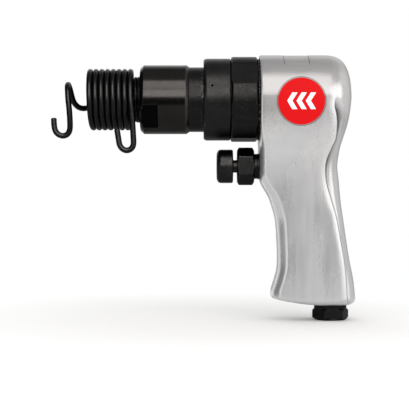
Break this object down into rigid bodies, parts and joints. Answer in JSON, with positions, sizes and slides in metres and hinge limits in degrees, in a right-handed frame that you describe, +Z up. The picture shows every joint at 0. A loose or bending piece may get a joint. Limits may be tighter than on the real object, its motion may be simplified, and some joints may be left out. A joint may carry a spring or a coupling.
{
  "type": "pneumatic air hammer",
  "caption": "Pistol-grip pneumatic hammer with a black steel barrel, coil chisel retainer, push-button throttle and hex air inlet; the piston, valve disc, button and collar move.",
  "frame": {"origin": "centre of the overall box's bottom face, level with the foot of the air inlet bushing", "axes": "-X the way the muzzle points, +Z up, the grip hanging down from the head, the badge on the -Y side"},
  "size_m": [0.1965, 0.0573, 0.1713],
  "materials": {
    "cast_aluminium": "cast, then polished to a soft satin",
    "badge_red": "printed film, satin",
    "black_steel": "turned and milled, black oxide",
    "black_spring_steel": "spring steel, black oxide",
    "bright_steel": "ground steel, oiled",
    "screen_steel": "perforated sheet",
    "seal_rubber": "moulded nitrile"
  },
  "bodies": {
    "housing_body": {"housing": "cast_aluminium", "badge": "badge_red", "cylinder": "black_steel", "throttle_bushing": "black_steel", "inlet_bushing": "black_steel", "lock_ring": "black_spring_steel", "deflector_snap_ring": "black_spring_steel", "valve_body": "bright_steel", "valve_cap": "bright_steel", "valve_pin_1": "bright_steel", "valve_pin_2": "bright_steel", "throttle_spring": "bright_steel", "inlet_screen": "screen_steel", "valve_oring": "seal_rubber", "deflector_oring": "seal_rubber", "bushing_oring": "seal_rubber", "stem_oring": "seal_rubber", "inlet_oring": "seal_rubber"},
    "piston": {"piston": "bright_steel"},
    "valve_disc": {"valve_disc": "bright_steel"},
    "trigger": {"trigger_button": "black_steel", "trigger_stem": "black_steel", "throttle_valve": "bright_steel"},
    "exhaust_deflector": {"exhaust_deflector": "black_steel"},
    "retainer": {"retainer_spring": "black_spring_steel"}
  },
  "joints": [
    {"name": "trigger_press", "type": "slide", "parent": "housing_body", "child": "trigger", "axis": [1, 0, 0], "range_m": [0, 0.0024], "stiffness_N_per_m": 2000, "springref_m": -0.004, "deforming": ["throttle_spring"]},
    {"name": "piston_stroke", "type": "slide", "parent": "housing_body", "child": "piston", "axis": [-1, 0, 0], "range_m": [0, 0.0412]},
    {"name": "valve_flip", "type": "slide", "parent": "housing_body", "child": "valve_disc", "axis": [1, 0, 0], "range_m": [0, 0.0018]},
    {"name": "collar_turn", "type": "hinge", "parent": "housing_body", "child": "exhaust_deflector", "pos_m": [0.0089, 0, 0.1427], "axis": [1, 0, 0], "continuous": true},
    {"name": "retainer_turn", "type": "hinge", "parent": "housing_body", "child": "retainer", "pos_m": [-0.0608, 0, 0.1427], "axis": [1, 0, 0], "continuous": true}
  ]
}
